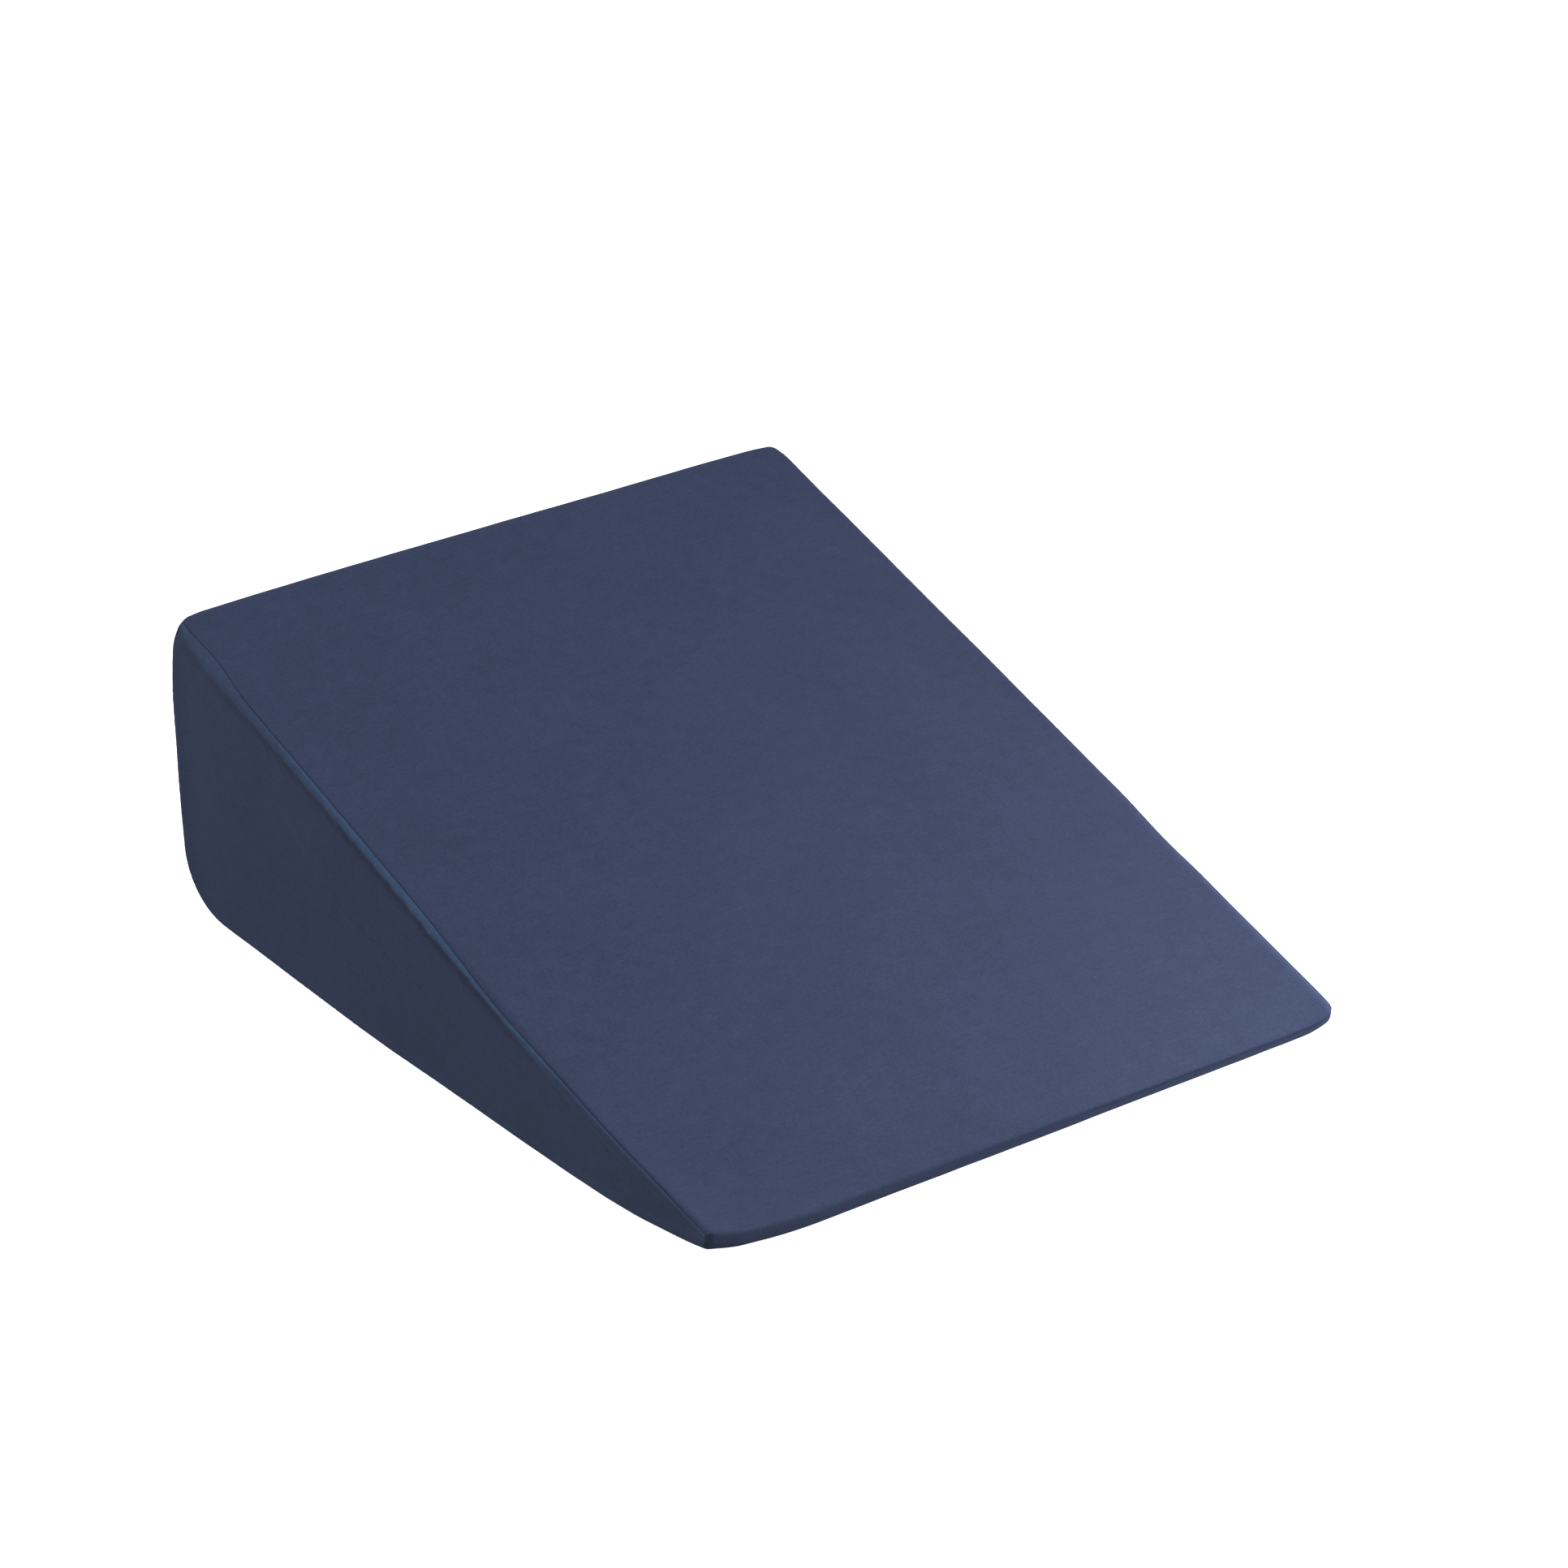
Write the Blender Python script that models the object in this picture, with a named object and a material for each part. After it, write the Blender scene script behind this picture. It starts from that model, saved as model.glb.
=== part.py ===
"""Bed wedge pillow: a foam wedge in a taut cloth cover.

X runs across the width, +Y towards the high back edge, +Z up. The origin is on the
surface the pillow rests on, under the middle of its length and width. Metres.
"""
import math

import bmesh
import bpy

# Overall sizes
WIDTH = 0.610
LENGTH = 0.745
HEIGHT = 0.267
NOSE_THICKNESS = 0.0165
NOSE_SETBACK = 0.0042
BACK_LEAN = 0.0065

# Radii of the wedge's corners, seen from the side
NOSE_TOP_RADIUS = 0.006
NOSE_BOTTOM_RADIUS = 0.0102
BACK_TOP_RADIUS = 0.010
BACK_BOTTOM_RADIUS = 0.062
LEAST_RADIUS = 0.001

# Side panels: sheet, seam and the rounding over the foam's edge
EDGE_RADIUS = 0.0065
SHEET = 0.002
GAP = 0.0003
SIDE_CROWN = 0.0015
SEAM_ANGLE = math.radians(10.0)
SEAM_UNDERCUT = 0.0005
GROOVE_DEPTH = 0.0007
GROOVE_SHRINK = 0.035
GROOVE_FADE = 0.026

# Crown of the slope, and how the cover draws the soft corners in; -1 is the left side
FALL = 1.6
SIDE_REACH = 0.250
SLOPE_CROWN = 0.003
TIP_LIFT = {-1: 0.0110, 1: 0.0038}
TIP_REACH_ACROSS = {-1: 0.100, 1: 0.055}
TIP_REACH_ALONG = {-1: 0.170, 1: 0.090}
TIP_DRAW = {-1: 0.0075, 1: 0.0020}
TIP_DRAW_REACH = 0.135
BASE_DRAW = 0.0055
BASE_DRAW_REACH = 0.250
BASE_DRAW_FULL = 0.300
BASE_DRAW_HEIGHT = 0.090
PEAK_IN = 0.0035
PEAK_FORWARD = 0.0030
PEAK_DOWN = 0.0015
PEAK_REACH = 0.080
PEAK_DROP = {-1: 0.0022, 1: 0.0003}
PEAK_DROP_REACH = 0.240
TOE_OUT = {-1: 0.0, 1: 0.0014}

FRONT = -LENGTH / 2
BACK = LENGTH / 2
SIDE = WIDTH / 2 - SIDE_CROWN
SLOPE_RISE = (HEIGHT - NOSE_THICKNESS) / LENGTH
HEART = (0.120, 0.100)

# Where the rings stand: shares of half the width, shares of the way to a side's heart,
# and steps over the foam's edge
SECTION_SHARES = (0.0, 0.25, 0.48, 0.68, 0.83, 0.93)
FACE_SHRINKS = (GROOVE_SHRINK, 0.09, 0.22, 0.45, 0.72)
BODY_EDGE_STEPS = 4
PANEL_EDGE_STEPS = 6

# Corner of the side view: place, radius, steps round it, steps to the next corner, and
# how strongly those steps crowd towards the nose, at the start (-) or the end (+) of the run
CORNERS = (
    dict(along=FRONT + NOSE_SETBACK, up=0.0, radius=NOSE_BOTTOM_RADIUS, turns=7, run=13, crowd=-1.7),
    dict(along=BACK - BACK_LEAN, up=0.0, radius=BACK_BOTTOM_RADIUS, turns=8, run=5, crowd=1.0),
    dict(along=BACK, up=HEIGHT, radius=BACK_TOP_RADIUS, turns=8, run=14, crowd=1.7),
    dict(along=FRONT, up=NOSE_THICKNESS, radius=NOSE_TOP_RADIUS, turns=4, run=1, crowd=1.0),
)

CLOTH_COLOUR = (0.052, 0.066, 0.125, 1.0)
SIDE_COLOUR = (0.040, 0.050, 0.092, 1.0)
CLOTH_ROUGHNESS = 0.85


def inward(first, second):
    """Unit normal of the side from one corner to the next, pointing into the wedge."""
    along = second["along"] - first["along"]
    up = second["up"] - first["up"]
    size = math.hypot(along, up)
    return -up / size, along / size


def meet(corner, before, after, inset):
    """Where the two sides at a corner cross, once both have moved in by the inset."""
    size = 1.0 + before[0] * after[0] + before[1] * after[1]
    return (corner["along"] + inset * (before[0] + after[0]) / size,
            corner["up"] + inset * (before[1] + after[1]) / size)


def crowded(part, crowd):
    """Share of a straight run, its steps shorter towards the start (-) or the end (+)."""
    if crowd < 0:
        return part ** -crowd
    return 1.0 - (1.0 - part) ** crowd


def side_view(inset):
    """Closed outline of the wedge moved in by the inset, each corner turned as an arc.

    Every inset gives the same number of points, so that outlines can be joined.
    """
    count = len(CORNERS)
    normals = [inward(CORNERS[i], CORNERS[(i + 1) % count]) for i in range(count)]
    arcs = []
    for i, corner in enumerate(CORNERS):
        before, after = normals[i - 1], normals[i]
        radius = max(corner["radius"] - inset, LEAST_RADIUS)
        middle = meet(corner, before, after, inset + radius)
        start = math.atan2(-before[1], -before[0])
        turn = math.atan2(before[0] * after[1] - before[1] * after[0],
                          before[0] * after[0] + before[1] * after[1])
        steps = corner["turns"]
        arcs.append([(middle[0] + radius * math.cos(start + turn * k / steps),
                      middle[1] + radius * math.sin(start + turn * k / steps))
                     for k in range(steps + 1)])
    outline = []
    for i, corner in enumerate(CORNERS):
        outline.extend(arcs[i])
        start, end = arcs[i][-1], arcs[(i + 1) % count][0]
        for k in range(1, corner["run"]):
            part = crowded(k / corner["run"], corner["crowd"])
            outline.append((start[0] + (end[0] - start[0]) * part,
                            start[1] + (end[1] - start[1]) * part))
    return outline


def ease(distance, reach):
    """One at no distance, falling smoothly to nothing at the reach."""
    return max(0.0, 1.0 - max(0.0, distance) / reach) ** FALL


def slope_at(y):
    """Height of the slope above the resting surface, no less than the nose's."""
    return NOSE_THICKNESS + max(0.0, y - FRONT) * SLOPE_RISE


def settle(x, y, z):
    """Where a point of the true wedge lies once the cover has drawn in its corners.

    The slope is crowned, the two low tips curl up and in, the high corners are pulled
    in and down, the foot of each side is drawn under towards the back, and one side
    toes out a little towards the nose.
    """
    hand = -1 if x < 0 else 1
    from_side = SIDE - abs(x)
    from_front = y - FRONT
    to_peak = math.hypot(BACK - y, HEIGHT - z)
    near_side = ease(from_side, SIDE_REACH)
    crown = (SLOPE_CROWN * (1.0 - min(1.0, abs(x) / SIDE) ** 2)
             * math.sin(math.pi * min(1.0, max(0.0, from_front / LENGTH)))
             * min(1.0, max(0.0, z / slope_at(y))) ** 2)
    lift = (TIP_LIFT[hand] * ease(from_side, TIP_REACH_ACROSS[hand])
            * ease(from_front, TIP_REACH_ALONG[hand]))
    pull = TIP_DRAW[hand] * ease(from_front, TIP_DRAW_REACH) * near_side
    foot = (BASE_DRAW * ease(BASE_DRAW_FULL - y, BASE_DRAW_REACH)
            * ease(z, BASE_DRAW_HEIGHT) * near_side)
    peak = ease(to_peak, PEAK_REACH) * ease(from_side, PEAK_REACH)
    drop = (PEAK_DROP[hand] * ease(from_side, PEAK_DROP_REACH)
            * ease(to_peak, PEAK_DROP_REACH))
    toe = TOE_OUT[hand] * (1.0 - 2.0 * from_front / LENGTH) * near_side
    return (x + hand * (toe - pull - foot - PEAK_IN * peak),
            y - PEAK_FORWARD * peak,
            z + crown + lift - PEAK_DOWN * peak - drop)


def over_edge(radius, steps):
    """Distances from the side's plane and insets of the rounding over the foam's edge."""
    rows = []
    for k in range(steps + 1):
        angle = SEAM_ANGLE + (math.pi / 2 - SEAM_ANGLE) * k / steps
        rows.append((SIDE - EDGE_RADIUS + radius * math.sin(angle),
                     EDGE_RADIUS - radius * math.cos(angle)))
    return rows


def outline_ring(x, inset):
    """One outline of the wedge standing across X."""
    return [(x, y, z) for y, z in side_view(inset)]


def face_rings(plane):
    """Outlines that shrink towards the heart of the side, crowned a little outwards.

    A shallow groove runs under the slope, just inside the rolled edge.
    """
    rim = side_view(EDGE_RADIUS)
    rings = []
    for shrink in FACE_SHRINKS:
        ring = []
        for y, z in rim:
            on_slope = ease(slope_at(y) - EDGE_RADIUS - z, GROOVE_FADE)
            dip = on_slope * GROOVE_DEPTH if shrink == GROOVE_SHRINK else 0.0
            crown = SIDE_CROWN * math.sin(shrink * math.pi / 2)
            ring.append((plane + crown - dip,
                         y + (HEART[0] - y) * shrink,
                         z + (HEART[1] - z) * shrink))
        rings.append(ring)
    return rings


def half_body():
    """Rings of the body from its middle to the right side, stepped in under the panel."""
    rings = []
    for share in SECTION_SHARES:
        rings.append(outline_ring(share * SIDE, 0.0))
    seam = SIDE - EDGE_RADIUS + EDGE_RADIUS * math.sin(SEAM_ANGLE) - GAP
    rings.append(outline_ring(seam, 0.0))
    rings.append(outline_ring(seam - SEAM_UNDERCUT, SHEET + 2 * GAP))
    for x, inset in over_edge(EDGE_RADIUS - SHEET - 2 * GAP, BODY_EDGE_STEPS):
        rings.append(outline_ring(x, inset))
    rings.extend(face_rings(SIDE - SHEET - GAP))
    return rings, (SIDE + SIDE_CROWN - SHEET - GAP, *HEART)


def mirrored(ring):
    """The same ring on the other side of the pillow."""
    return [(-x, y, z) for x, y, z in ring]


def skin(name, rings, start, end, colour):
    """Object whose surface joins each ring to the next, with a fan from each end point."""
    mesh = bmesh.new()
    rows = [[mesh.verts.new(settle(*point)) for point in ring] for ring in rings]
    count = len(rows[0])
    for first, second in zip(rows, rows[1:]):
        for k in range(count):
            following = (k + 1) % count
            mesh.faces.new((first[k], first[following], second[following], second[k]))
    for point, row in ((start, rows[0]), (end, rows[-1])):
        tip = mesh.verts.new(settle(*point))
        for k in range(count):
            mesh.faces.new((tip, row[k], row[(k + 1) % count]))
    bmesh.ops.triangulate(mesh, faces=mesh.faces, quad_method="SHORT_EDGE")
    bmesh.ops.recalc_face_normals(mesh, faces=mesh.faces)
    data = bpy.data.meshes.new(name)
    mesh.to_mesh(data)
    mesh.free()
    data.shade_smooth()
    data.materials.append(cloth(name + "_cloth", colour))
    return bpy.data.objects.new(name, data)


def cloth(name, colour):
    """Brushed cotton cloth: matt and plain in colour."""
    material = bpy.data.materials.new(name)
    material.use_nodes = True
    shader = material.node_tree.nodes["Principled BSDF"]
    shader.inputs["Base Color"].default_value = colour
    shader.inputs["Roughness"].default_value = CLOTH_ROUGHNESS
    shader.inputs["Metallic"].default_value = 0.0
    return material


def wedge_body():
    """Foam wedge in its band panel: slope, nose, underside and back as one filled form."""
    right, right_end = half_body()
    left = [mirrored(ring) for ring in reversed(right[1:])]
    left_end = mirrored([right_end])[0]
    return skin("wedge_body", left + right, left_end, right_end, CLOTH_COLOUR)


def side_panel(name, hand):
    """End piece of the cover: a sheet over the side, rolled over the edge to its seam."""
    faces = []
    for radius, plane in ((EDGE_RADIUS - SHEET, SIDE - SHEET), (EDGE_RADIUS, SIDE)):
        edge = [outline_ring(x, inset) for x, inset in over_edge(radius, PANEL_EDGE_STEPS)]
        faces.append(edge + face_rings(plane))
    inner, outer = faces
    rings = inner[::-1] + outer
    ends = [(SIDE + SIDE_CROWN - SHEET, *HEART), (SIDE + SIDE_CROWN, *HEART)]
    if hand < 0:
        rings = [mirrored(ring) for ring in rings]
        ends = mirrored(ends)
    return skin(name, rings, ends[0], ends[1], SIDE_COLOUR)


def build():
    """Clear the scene and put the pillow's three sewn pieces in one collection."""
    for old in list(bpy.data.objects):
        bpy.data.objects.remove(old, do_unlink=True)
    group = bpy.data.collections.new("wedge_pillow")
    bpy.context.scene.collection.children.link(group)
    group.objects.link(wedge_body())
    group.objects.link(side_panel("side_panel_left", -1))
    group.objects.link(side_panel("side_panel_right", 1))


build()
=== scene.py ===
"""Bed wedge pillow: a foam wedge in a taut cover of brushed navy cotton.

X runs across the width, +Y towards the high back edge, +Z up. Metres.
"""
import math

import bpy
import numpy as np
from mathutils import Matrix, Vector


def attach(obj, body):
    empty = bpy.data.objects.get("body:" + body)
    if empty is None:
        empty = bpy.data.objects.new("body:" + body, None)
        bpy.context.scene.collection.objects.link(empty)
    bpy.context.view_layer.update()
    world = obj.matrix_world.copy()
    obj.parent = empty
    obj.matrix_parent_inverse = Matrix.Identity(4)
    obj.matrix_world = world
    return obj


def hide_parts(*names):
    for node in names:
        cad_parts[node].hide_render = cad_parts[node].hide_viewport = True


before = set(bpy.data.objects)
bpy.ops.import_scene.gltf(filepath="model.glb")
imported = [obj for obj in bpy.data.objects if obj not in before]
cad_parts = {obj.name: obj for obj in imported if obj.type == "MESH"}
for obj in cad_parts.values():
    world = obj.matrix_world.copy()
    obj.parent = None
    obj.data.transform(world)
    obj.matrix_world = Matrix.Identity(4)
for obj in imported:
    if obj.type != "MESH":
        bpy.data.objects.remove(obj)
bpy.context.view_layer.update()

# The true wedge, before the cover draws its corners in and crowns its faces
WIDTH = 0.6105
LENGTH = 0.745
HEIGHT = 0.2691
NOSE_THICKNESS = 0.0168
NOSE_SETBACK = 0.0043
BACK_LEAN = -0.0021
NOSE_TOP_RADIUS = 0.0030
NOSE_BOTTOM_RADIUS = 0.0109
BACK_TOP_RADIUS = 0.0125
BACK_BOTTOM_RADIUS = 0.0527
LEAST_RADIUS = 0.001
EDGE_RADIUS = 0.0065
SIDE_CROWN = 0.0015
SIDE_CROWN_REACH = 0.035
SIDE_CROWN_FULL = 0.25

# How the cover draws the soft corners in; -1 is the left side
FALL = 1.6
SIDE_REACH = 0.250
SLOPE_CROWN = 0.0068
TIP_LIFT = {-1: 0.0100, 1: 0.0011}
TIP_REACH_ACROSS = {-1: 0.101, 1: 0.055}
TIP_REACH_ALONG = {-1: 0.212, 1: 0.090}
TIP_DRAW = {-1: 0.0096, 1: -0.0002}
TIP_DRAW_REACH = 0.135
BASE_DRAW = 0.0041
BASE_DRAW_REACH = 0.250
BASE_DRAW_FULL = 0.333
BASE_DRAW_HEIGHT = 0.105
PEAK_IN = 0.0041
PEAK_FORWARD = 0.0073
PEAK_UP = 0.0034
PEAK_REACH = 0.080
PEAK_DROP = {-1: 0.0020, 1: -0.0003}
PEAK_DROP_REACH = 0.240
FOOT_OUT = {-1: 0.0022, 1: 0.0000}
FOOT_OUT_AT = 0.060
FOOT_OUT_REACH = 0.130
TOE_OUT = {-1: 0.0022, 1: 0.0032}
TOP_DRAW = {-1: -0.0017, 1: 0.0020}
TOP_DRAW_REACH = 0.420
WAIST_DRAW = {-1: 0.0000, 1: 0.0017}
WAIST = -0.160
WAIST_REACH = 0.034
TOE_ROUND = {-1: 0.0040, 1: 0.0107}
CREASE_DROP = {-1: 0.0001, 1: 0.0036}
CREASE_DROP_REACH = 0.030

# Small blunt corners: how far the cover's points go in, along, and up
BLUNT_REACH = 0.0316
BLUNT_CORNERS = (
    dict(hand=-1, along="back", into=0.0085, ahead=-0.0053, up=0.0003),
    dict(hand=1, along="back", into=0.0052, ahead=-0.0002, up=-0.0022),
    dict(hand=-1, along="front", into=-0.0028, ahead=0.0039, up=0.0035),
    dict(hand=1, along="front", into=0.0028, ahead=0.0018, up=0.0052),
)

FRONT = -LENGTH / 2
BACK = LENGTH / 2
SIDE = WIDTH / 2 - SIDE_CROWN
SLOPE_RISE = (HEIGHT - NOSE_THICKNESS) / LENGTH
HEART = (0.120, 0.100)
EDGE_WAY = EDGE_RADIUS * math.pi / 2
FACE_WAY = 0.080
ON_SLOPE_FROM = 0.55
ON_SLOPE_OVER = 0.35

# Corners of the side view, in order from the nose's foot: place, radius, steps round it
CORNERS = (
    dict(along=FRONT + NOSE_SETBACK, up=0.0, radius=NOSE_BOTTOM_RADIUS, turns=10),
    dict(along=BACK - BACK_LEAN, up=0.0, radius=BACK_BOTTOM_RADIUS, turns=24),
    dict(along=BACK, up=HEIGHT, radius=BACK_TOP_RADIUS, turns=12),
    dict(along=FRONT, up=NOSE_THICKNESS, radius=NOSE_TOP_RADIUS, turns=8),
)
STEP_ALONG = 0.0042

# Rows across the cover: steps start fine at the seam and grow by a ratio to the coarse
BAND_STEPS = dict(fine=0.0004, coarse=0.0045, grow=1.22)
ROLLED_STEPS = dict(fine=0.0003, coarse=0.0008, grow=1.25)
FLAT_STEPS = dict(fine=0.0006, coarse=0.0050, grow=1.07)
FLAT_END = 0.93
HIDDEN_DEPTH = 0.0045
HIDDEN_RIM = 0.3
HIDDEN_SHARES = (0.08, 0.3, 0.6, 0.85)

# Where the seams wander: how far past the start of the rounding they lie along the slope,
# and the bends in them. -1 is the left seam.
SEAM_WAY = {-1: 0.0032, 1: 0.0054}
SEAM_BENDS = {
    -1: (
        dict(at=0.370, reach=0.0165, way=0.0065),
        dict(at=0.304, reach=0.031, way=-0.0045),
        dict(at=-0.104, reach=0.066, way=0.0032),
    ),
    1: (
        dict(at=0.200, reach=0.060, way=0.0006),
        dict(at=-0.090, reach=0.050, way=-0.0005),
    ),
}
NOSE_BEND = {-1: 0.0042, 1: 0.0020}
NOSE_BEND_REACH = 0.049
NOSE_BEND_UP = 0.010
RIM_WAY = EDGE_WAY + 0.004

# Relief: the seam's valley, the rolled strip beside it and the groove that ends the strip,
# whose drop is measured square to the slope
VALLEY_DEPTH = {-1: 0.0008, 1: 0.0003}
VALLEY_WIDTH = 0.0005
VALLEY_LEAST = 0.3
ROLL_HEIGHT = 0.0006
GROOVE_DEPTH = 0.0010
GROOVE_WIDTH = 0.0032
GROOVE_SHALLOWER = 0.6
GROOVE_SHALLOW_FROM = 0.10
GROOVE_SHALLOW_TO = 0.30
STRIP_DROP = 0.0103
STRIP_DROP_AT_BACK = 0.0030
STRIP_DEEPER_FROM = 0.15
STRIP_LEAST = 0.002
STRIP_END = -0.215
STRIP_TAPER = 0.110
PUCKER_SHARE = {-1: 1.0, 1: 0.4}
PUCKER_LEAST = 0.35
PUCKER_WAY = 0.003
PUCKER_REACH = 0.0060
CLOTH_THICKNESS = 0.0010

# The crease over the nose wanders, and a shallow dip runs below it towards the right
CREASE_REACH = 0.006
DIP_DEPTH = 0.0006
DIP_WAY = 0.0030
DIP_WIDTH = 0.0016
DIP_GROWS = 0.15
DIP_TAPER = 0.04

# Uneven sums of sines: height, pitch, how many, seed, and how far each hand's is shifted
UNEVEN = {
    "strip_end_long": dict(height=0.0006, pitch=0.030, count=6, seed=11, shift=3.0),
    "strip_end_short": dict(height=0.0004, pitch=0.009, count=6, seed=12, shift=5.0),
    "puckers": dict(height=0.00013, pitch=0.0075, count=9, seed=5, shift=7.0),
    "broad": dict(height=0.00010, pitch=0.110, count=14, seed=3, shift=0.0),
    "small": dict(height=0.00004, pitch=0.035, count=14, seed=4, shift=0.0),
    "crease": dict(height=0.00020, pitch=0.060, count=7, seed=21, shift=0.0),
    "foam": dict(height=0.08, pitch=0.130, count=10, seed=31, shift=0.0),
}

# Painted highlights in the cloth's colour, as shares of its highlight colour: the strip, which
# fades to the back, a hairline by the left seam and the rim beside the right one
STRIP_LIGHT = 1.55
STRIP_LIGHT_FALL = 0.75
STRIP_LIGHT_FALL_FROM = -0.02
STRIP_LIGHT_FALL_TO = 0.25
STRIP_LIGHT_START = 0.0105
STRIP_LIGHT_END = 0.0022
PANEL_START = -0.0001
PANEL_FULL = 0.0004
HAIRLINE = 0.8
HAIRLINE_WAY = 0.0014
HAIRLINE_WIDTH = 0.0006
HAIRLINE_FROM = 0.15
HAIRLINE_TO = 0.25
RIM_LIGHT = 0.8
RIM_LIGHT_WAY = 0.0008
RIM_LIGHT_WIDTH = 0.0030
RIM_LIGHT_FROM = -0.05
RIM_LIGHT_TO = 0.300

# Painted shade, darkening the cloth's colour: the groove, the seam, the rim's far edge, the
# nose's fold
GROOVE_SHADE = 1.1
GROOVE_SHADE_WAY = 0.0024
GROOVE_SHADE_WIDTH = 0.0038
GROOVE_SHADE_AT_BACK = 0.45
STITCH_SHADE = 0.8
STITCH_SHADE_AT_BACK = 1.0
STITCH_DARKER_FROM = 0.15
STITCH_WIDTH = 0.0005
RIM_DARK = 1.4
RIM_DARK_WAY = 0.0058
RIM_DARK_WIDTH = 0.0011
FOLD_SHADE = 1.3
FOLD_WIDTH = 1.2 * DIP_WIDTH

# The cover as simulated cloth: its grid, the foam's pressure and hold, how far it may move;
# how sharply it turns where it starts at its full size and where it is held
SWELL_STEP = 0.0105
SWELL_TURNS = 0.3
SWELL_OVER_STEPS = 3
SWELL_FACE_STEPS = 24
SWELL_FACE_END = 0.96
SWELL_FRAMES = 20
SWELL_PRESSURE = 4.0
SWELL_CAP = 0.004
SWELL_START = 0.0010
FOAM_STIFFNESS = 3.0
FOAM_HOLD = 0.20
FOAM_LEAST = 0.01
FACE_HOLD = 8.0
SEAM_HOLD_REACH = 0.004
TURN_HOLD = 0.7
TURN_FULL_SIZE = (0.02, 0.20)
TURN_HELD = (0.10, 0.50)

# Brushed cotton: noises along the cloth in metres, and how far each changes the tone
NAP = dict(scale=950.0, detail=3.0, low=0.86, high=1.14)
SLUB = dict(scale=1.0, detail=2.0, stretch=(28.0, 700.0, 1.0), low=0.97, high=1.03)
PATCH = dict(scale=11.0, detail=3.0, low=0.965, high=1.035)
FLECK = dict(scale=70.0, detail=4.0, low=0.95, high=1.05)
FUZZ = dict(scale=330.0, detail=3.0, low=0.91, high=1.09)
# The next noise breaks up the painted highlights
HIGHLIGHT_NOISE = dict(scale=160.0, detail=3.0, low=0.72, high=1.10)
THREAD_PITCH = 0.00052
WEAVE_HEIGHT = 0.20
NAP_HEIGHT = 0.9
SLUB_HEIGHT = 0.5
ROUGH_LEAST = 0.80
ROUGH_MOST = 0.92
# The deepest painted shade and the tone it darkens to
DEEPEST_SHADE = -2.0
DEEPEST_TONE = 0.50
SHEEN = 0.12
SHEEN_ROUGHNESS = 0.45
NAVY_SHEEN = (0.40, 0.60, 1.0, 1.0)
# Each cloth's second colour is the lighter, bluer navy of its painted highlights
BAND_NAVY = dict(colour=(0.0366, 0.0488, 0.0988, 1.0), highlight_colour=(0.060, 0.080, 0.160, 1.0))
# The side panels' navy is a little darker than the band's: painted shade on the same cloth
SIDE_NAVY = dict(colour=(0.0342, 0.0446, 0.0867, 1.0), highlight_colour=(0.0448, 0.0785, 0.155, 1.0))

# The studio: square lights, the camera and the floor's brightness, bounced and as seen
WHITE = (1.0, 1.0, 1.0)
LIGHTS = (
    dict(name="overhead", place=(-2.45, 1.41, 2.83), aim=(0.0, 0.0, 0.0), size=1.8,
         power=128.0, colour=WHITE),
    dict(name="front", place=(0.59, -1.02, 0.55), aim=(0.0, 0.0, 0.0), size=0.6,
         power=14.0, colour=WHITE),
    dict(name="nose", place=(-0.62, -1.00, 0.06), aim=(-0.1, -0.37, 0.0), size=0.3,
         power=1.9, colour=(1.0, 0.96, 0.89)),
    dict(name="right", place=(1.18, 0.0, 0.55), aim=(0.0, 0.0, 0.0), size=0.6,
         power=4.2, colour=WHITE),
)
SURROUNDINGS = 0.10
FLOOR_SIZE = 40.0
FLOOR_BELOW = 0.0002
FLOOR_BOUNCED = 0.22
FLOOR_SEEN = 0.90
CAMERA_PLACE = (-2.24341, -3.17577, 2.02459)
CAMERA_RIGHT = (0.80728957, -0.58994556, -0.01574109)
CAMERA_UP = (0.26629595, 0.34034078, 0.90180631)
CAMERA_BACK = (-0.5266593, -0.73221062, 0.43185368)
CAMERA_LENS = 124.92


def inward(first, second):
    """Unit normal of the side from one corner to the next, pointing into the wedge."""
    along = second["along"] - first["along"]
    up = second["up"] - first["up"]
    size = math.hypot(along, up)
    return np.array((-up / size, along / size))


NORMALS = [inward(CORNERS[i], CORNERS[(i + 1) % 4]) for i in range(4)]
PLACES = np.array([(c["along"], c["up"]) for c in CORNERS])
RADII = np.array([c["radius"] for c in CORNERS])
LEANS = np.array([(NORMALS[i - 1] + NORMALS[i]) / (1.0 + NORMALS[i - 1] @ NORMALS[i])
                  for i in range(4)])


def arc_end(corner, angle, inset):
    """Points on rounded corners: the middle of the arc plus its radius times (cos, sin).

    The corner moves in by the inset and its radius shrinks by as much, down to the least.
    """
    radius = np.maximum(RADII[corner] - inset, LEAST_RADIUS)
    reach = (inset + radius)[..., None]
    outward = np.stack([np.cos(angle), np.sin(angle)], -1)
    return PLACES[corner] + reach * LEANS[corner] + radius[..., None] * outward


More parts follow.
